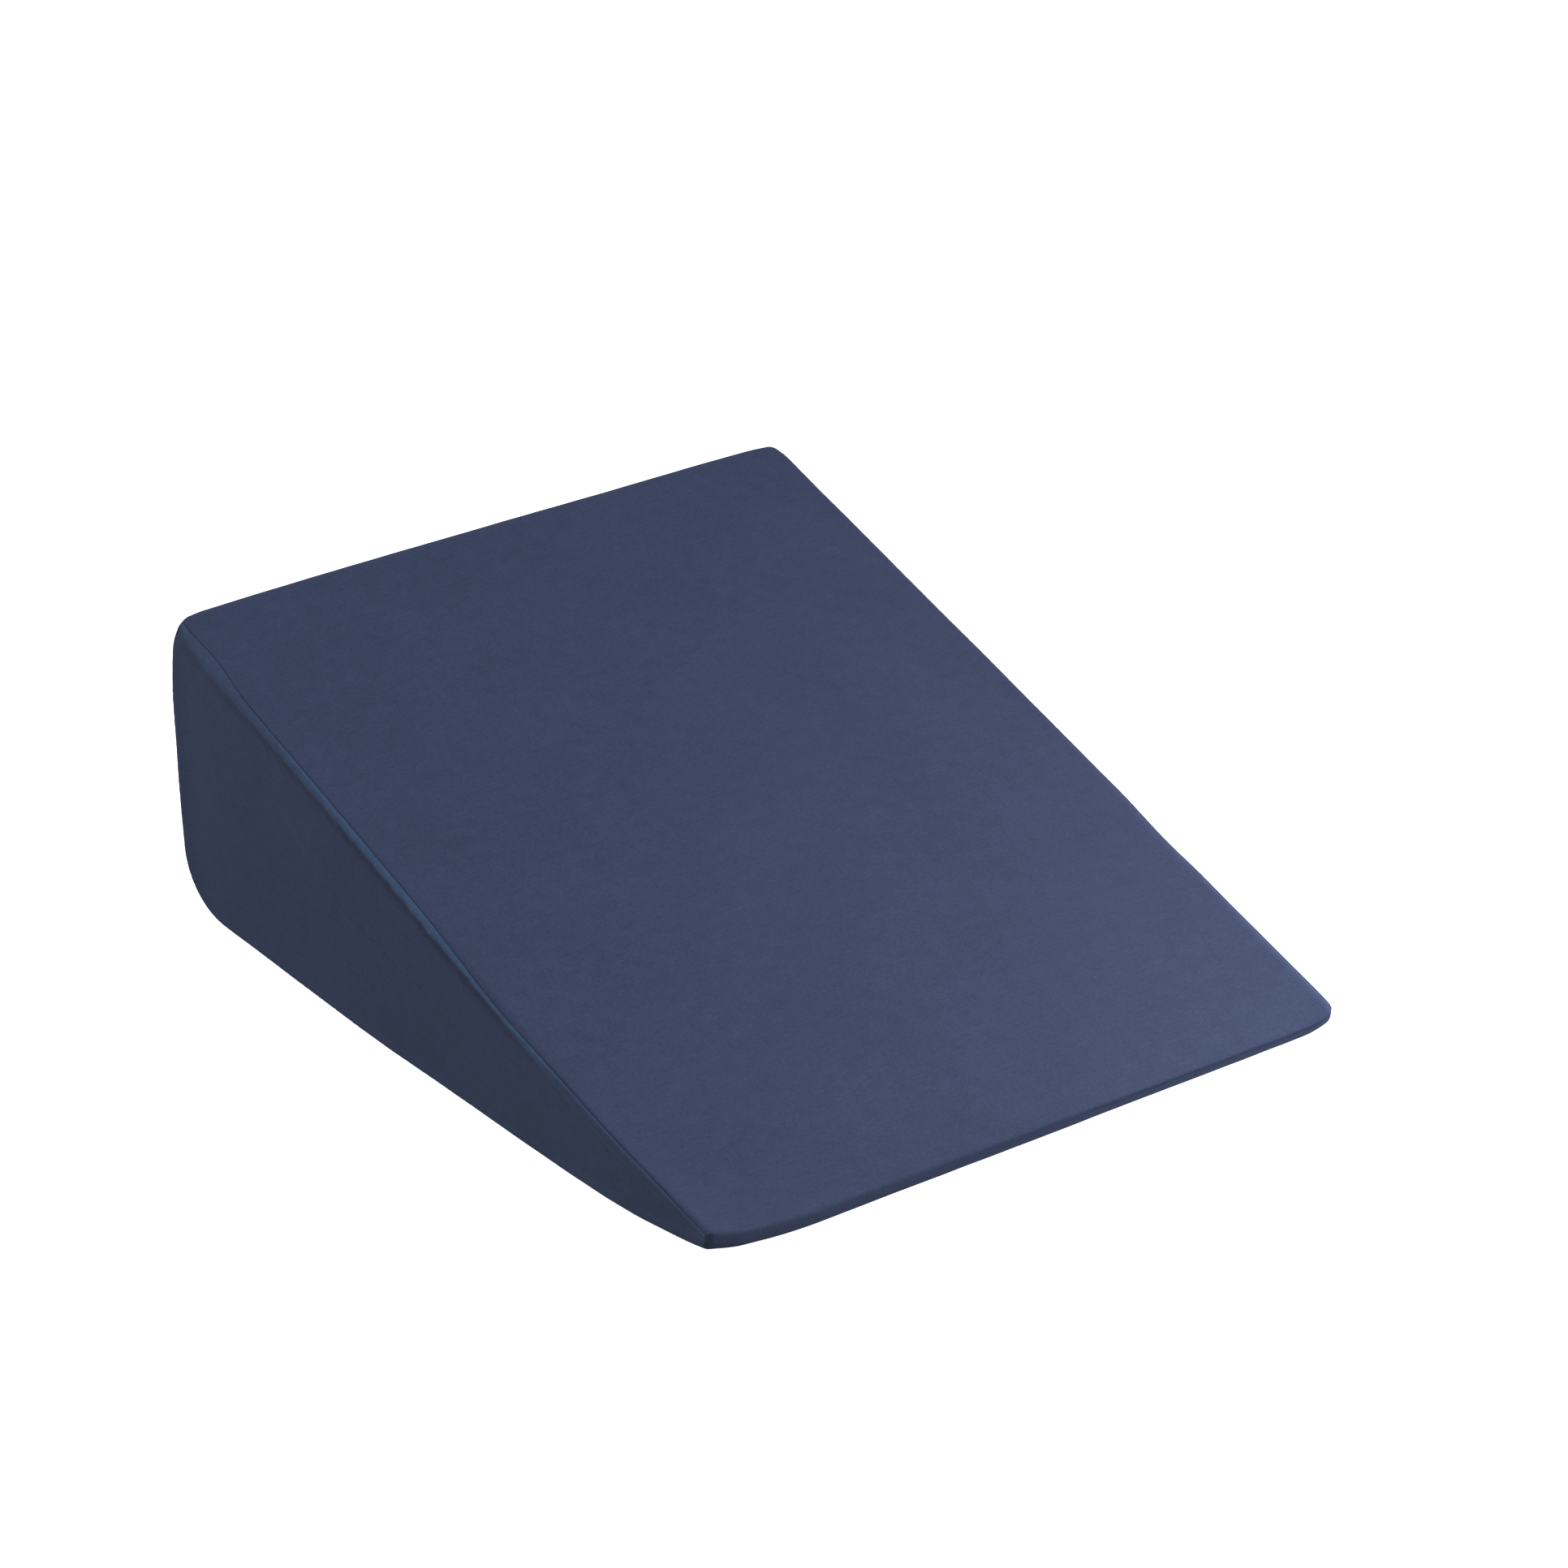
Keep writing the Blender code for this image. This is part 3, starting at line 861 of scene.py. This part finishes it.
def side_panel(name, hand, columns, swell):
    """End panel of the cover: rolled over the foam's edge from its seam, then flat.

    Its uv map is the side view laid flat: the outline scaled towards its heart, and past
    the outline's rim the way that rolls over the edge, square to it.
    """
    seam = seam_way(hand, columns)
    over = eased_shares(RIM_WAY, **ROLLED_STEPS)
    rolled = seam[None, :] + over[:, None] * (RIM_WAY - seam)[None, :]
    flat = eased_ways(RIM_WAY, EDGE_WAY + FACE_WAY * FLAT_END, **FLAT_STEPS)[1:]
    way = np.concatenate([rolled, np.broadcast_to(flat[:, None], (len(flat), len(seam)))])
    points = dressed(hand, way, columns, swell)
    end = np.full((1, len(seam)), EDGE_WAY + FACE_WAY)
    heart = (cover_points(hand, end, columns) + swollen(swell, hand, end, columns))[0].mean(0)
    rim = side_view(EDGE_RADIUS, columns)
    outline = side_view(0.0, columns)
    outward = outline - rim
    outward /= np.maximum(np.linalg.norm(outward, axis=1, keepdims=True), 1e-9)
    beyond = np.maximum(0.0, EDGE_WAY - way)[..., None]
    share = np.clip((way - EDGE_WAY) / FACE_WAY, 0.0, 1.0)[..., None]
    flat_place = rim + outward * beyond + (np.array(HEART) - rim) * share
    flat_place = np.concatenate([flat_place, flat_place[:, :1]], axis=1)
    panel = grid_mesh(name, points, flat_place[..., 0], flat_place[..., 1],
                      [(True, heart)], flip=hand < 0, painted_light_and_shade=painted_shading(hand, way, columns))
    sheet = panel.modifiers.new("cloth", "SOLIDIFY")
    sheet.thickness = CLOTH_THICKNESS
    sheet.offset = -1.0
    return panel


def add(tree, kind, **values):
    """A node of that kind, with its settings and its input values by name."""
    node = tree.nodes.new(kind)
    for key, value in values.items():
        if hasattr(node, key):
            setattr(node, key, value)
        else:
            node.inputs[key.replace("_", " ")].default_value = value
    return node


def brushed_weave():
    """Group: colour, roughness and height of brushed cotton from the cloth's coordinates.

    Height is a plain weave, the product of two sines, under a soft nap of fine noise and
    slub lines drawn out across the cloth. The tone is the product of the nap, the slubs,
    three sizes of soft mottling and the painted shade from the negative part of the painted
    light input. It multiplies the colour, which turns to the lighter, bluer highlight colour
    where that input paints a highlight, broken up by noise.
    """
    group = bpy.data.node_groups.new("brushed_weave", "ShaderNodeTree")
    face = group.interface
    face.new_socket("Cloth", in_out="INPUT", socket_type="NodeSocketVector")
    face.new_socket("Painted Shading", in_out="INPUT", socket_type="NodeSocketFloat")
    for tone in ("Colour", "Highlight Colour"):
        colour = face.new_socket(tone, in_out="INPUT", socket_type="NodeSocketColor")
        colour.default_value = (0.05, 0.07, 0.12, 1.0)
    face.new_socket("Colour", in_out="OUTPUT", socket_type="NodeSocketColor")
    face.new_socket("Roughness", in_out="OUTPUT", socket_type="NodeSocketFloat")
    face.new_socket("Height", in_out="OUTPUT", socket_type="NodeSocketFloat")
    start = add(group, "NodeGroupInput")
    end = add(group, "NodeGroupOutput")
    link = group.links.new

    def noise(kind):
        """Noise of that kind on the cloth's coordinates, times its stretch if it has one."""
        drawn = add(group, "ShaderNodeVectorMath", operation="MULTIPLY")
        drawn.inputs[1].default_value = kind.get("stretch", (1.0, 1.0, 1.0))
        link(start.outputs["Cloth"], drawn.inputs[0])
        made = add(group, "ShaderNodeTexNoise", Scale=kind["scale"], Detail=kind["detail"])
        link(drawn.outputs[0], made.inputs["Vector"])
        return made.outputs["Fac"]

    def blend(value, low, high):
        """The value's range from 0.3 to 0.7, where most noise lies, put between low and high."""
        ranged = add(group, "ShaderNodeMapRange")
        ranged.inputs["From Min"].default_value = 0.3
        ranged.inputs["From Max"].default_value = 0.7
        ranged.inputs["To Min"].default_value = low
        ranged.inputs["To Max"].default_value = high
        link(value, ranged.inputs["Value"])
        return ranged.outputs["Result"]

    def combine(operation, first, second):
        """Two sockets, or a socket and a number, put together by a math node."""
        node = add(group, "ShaderNodeMath", operation=operation)
        for socket, value in zip(node.inputs, (first, second)):
            if isinstance(value, float):
                socket.default_value = value
            else:
                link(value, socket)
        return node.outputs[0]

    def varied(tone, kind, made):
        """The tone times the noise made of that kind, put between the kind's low and high."""
        return combine("MULTIPLY", tone, blend(made, kind["low"], kind["high"]))

    nap, slub = noise(NAP), noise(SLUB)
    apart = add(group, "ShaderNodeSeparateXYZ")
    link(start.outputs["Cloth"], apart.inputs[0])
    threads = []
    for axis in ("X", "Y"):
        turned = combine("MULTIPLY", apart.outputs[axis], 2 * math.pi / THREAD_PITCH)
        threads.append(combine("SINE", turned, 0.0))
    weave = combine("MULTIPLY", threads[0], threads[1])
    tone = varied(varied(1.0, NAP, nap), SLUB, slub)
    for kind in (PATCH, FLECK, FUZZ):
        tone = varied(tone, kind, noise(kind))
    # Painted shade: the negative part of the input darkens the tone
    shade = add(group, "ShaderNodeMapRange")
    shade.inputs["From Min"].default_value = DEEPEST_SHADE
    shade.inputs["From Max"].default_value = 0.0
    shade.inputs["To Min"].default_value = DEEPEST_TONE
    link(start.outputs["Painted Shading"], shade.inputs["Value"])
    tone = combine("MULTIPLY", tone, shade.outputs["Result"])
    # Painted highlight: the positive part mixes in the lighter, bluer colour, broken up by noise
    painted_light_and_shade = add(group, "ShaderNodeMix", data_type="RGBA")
    link(varied(start.outputs["Painted Shading"], HIGHLIGHT_NOISE, noise(HIGHLIGHT_NOISE)), painted_light_and_shade.inputs["Factor"])
    sockets = [socket for socket in painted_light_and_shade.inputs if socket.type == "RGBA"]
    link(start.outputs["Colour"], sockets[0])
    link(start.outputs["Highlight Colour"], sockets[1])
    mixed = next(socket for socket in painted_light_and_shade.outputs if socket.type == "RGBA")
    scaled = add(group, "ShaderNodeVectorMath", operation="SCALE")
    link(mixed, scaled.inputs[0])
    link(tone, scaled.inputs["Scale"])
    link(scaled.outputs[0], end.inputs["Colour"])
    link(blend(nap, ROUGH_LEAST, ROUGH_MOST), end.inputs["Roughness"])
    high = combine("ADD", combine("MULTIPLY", weave, WEAVE_HEIGHT),
                   combine("MULTIPLY", nap, NAP_HEIGHT))
    high = combine("ADD", high, combine("MULTIPLY", slub, SLUB_HEIGHT))
    link(high, end.inputs["Height"])
    return group


def cloth_material(name, group, colour, highlight_colour):
    """Brushed cloth: the group's colour, roughness and height under a soft sheen."""
    material = bpy.data.materials.new(name)
    material.use_nodes = True
    tree = material.node_tree
    shader = tree.nodes["Principled BSDF"]
    shader.inputs["Metallic"].default_value = 0.0
    shader.inputs["Specular IOR Level"].default_value = 0.15
    shader.inputs["Sheen Weight"].default_value = SHEEN
    shader.inputs["Sheen Roughness"].default_value = SHEEN_ROUGHNESS
    shader.inputs["Sheen Tint"].default_value = NAVY_SHEEN
    place = add(tree, "ShaderNodeUVMap", uv_map="cloth")
    weave = add(tree, "ShaderNodeGroup", node_tree=group)
    weave.inputs["Colour"].default_value = colour
    weave.inputs["Highlight Colour"].default_value = highlight_colour
    # Point attribute of painted light and shade
    wear = add(tree, "ShaderNodeAttribute", attribute_name="painted_shading")
    bump = add(tree, "ShaderNodeBump", Strength=0.35, Distance=0.0004)
    link = tree.links.new
    link(wear.outputs["Fac"], weave.inputs["Painted Shading"])
    link(place.outputs["UV"], weave.inputs["Cloth"])
    link(weave.outputs["Colour"], shader.inputs["Base Color"])
    link(weave.outputs["Roughness"], shader.inputs["Roughness"])
    link(weave.outputs["Height"], bump.inputs["Height"])
    link(bump.outputs["Normal"], shader.inputs["Normal"])
    return material


def plain_floor():
    """Wide, pale, matt floor: bright where the camera sees it, duller where light bounces."""
    bpy.ops.mesh.primitive_plane_add(size=FLOOR_SIZE, location=(0.0, 0.0, -FLOOR_BELOW))
    floor = bpy.context.object
    floor.name = "floor"
    material = bpy.data.materials.new("pale_floor")
    material.use_nodes = True
    shader = material.node_tree.nodes["Principled BSDF"]
    shader.inputs["Roughness"].default_value = 0.9
    shader.inputs["Specular IOR Level"].default_value = 0.0
    shader.inputs["Emission Color"].default_value = (1.0, 1.0, 1.0, 1.0)
    tree = material.node_tree
    path = add(tree, "ShaderNodeLightPath")
    for target, bounced, seen in (("Base Color", FLOOR_BOUNCED, FLOOR_SEEN),
                                  ("Emission Strength", 0.0, 1.0)):
        shade = add(tree, "ShaderNodeMapRange")
        shade.inputs["To Min"].default_value = bounced
        shade.inputs["To Max"].default_value = seen
        tree.links.new(path.outputs["Is Camera Ray"], shade.inputs["Value"])
        tree.links.new(shade.outputs["Result"], shader.inputs[target])
    floor.data.materials.append(material)


def soft_light(name, place, aim, size, power, colour):
    """Square area light at a place, turned to face its aim."""
    lamp = bpy.data.lights.new(name, "AREA")
    lamp.shape = "SQUARE"
    lamp.size = size
    lamp.energy = power
    lamp.color = colour
    holder = bpy.data.objects.new(name, lamp)
    turned = (Vector(place) - Vector(aim)).to_track_quat("Z", "Y")
    holder.matrix_world = Matrix.Translation(place) @ turned.to_matrix().to_4x4()
    bpy.context.scene.collection.objects.link(holder)


def photo_camera():
    """Camera in front of the left corner, looking down at the pillow."""
    lens = bpy.data.cameras.new("camera")
    lens.sensor_width = 36.0
    lens.lens = CAMERA_LENS
    lens.clip_start = 0.05
    lens.clip_end = 100.0
    camera = bpy.data.objects.new("camera", lens)
    turned = Matrix((CAMERA_RIGHT, CAMERA_UP, CAMERA_BACK)).transposed().to_4x4()
    camera.matrix_world = Matrix.Translation(CAMERA_PLACE) @ turned
    bpy.context.scene.collection.objects.link(camera)
    bpy.context.scene.camera = camera


def studio():
    """Faint even surroundings and the soft lights: a key from high behind the left side."""
    scene = bpy.context.scene
    world = bpy.data.worlds.new("studio")
    world.use_nodes = True
    background = world.node_tree.nodes["Background"]
    background.inputs["Color"].default_value = (1.0, 1.0, 1.0, 1.0)
    background.inputs["Strength"].default_value = SURROUNDINGS
    scene.world = world
    scene.view_settings.view_transform = "Standard"
    for light in LIGHTS:
        soft_light(**light)


def main():
    """The three cloth pieces in place of the solids, then the floor, lights and camera."""
    columns = make_columns(STEP_ALONG)
    swell = swell_cover()
    weave = brushed_weave()
    band_cloth = cloth_material("band_cloth", weave, **BAND_NAVY)
    side_cloth = cloth_material("side_cloth", weave, **SIDE_NAVY)
    band = cover_band(columns, swell)
    band.data.materials.append(band_cloth)
    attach(band, "root")
    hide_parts("wedge_body")
    for side, hand in (("left", -1), ("right", 1)):
        panel = side_panel("cover_side_" + side, hand, columns, swell)
        panel.data.materials.append(side_cloth)
        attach(panel, "root")
        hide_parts("side_panel_" + side)
    plain_floor()
    studio()
    photo_camera()


main()
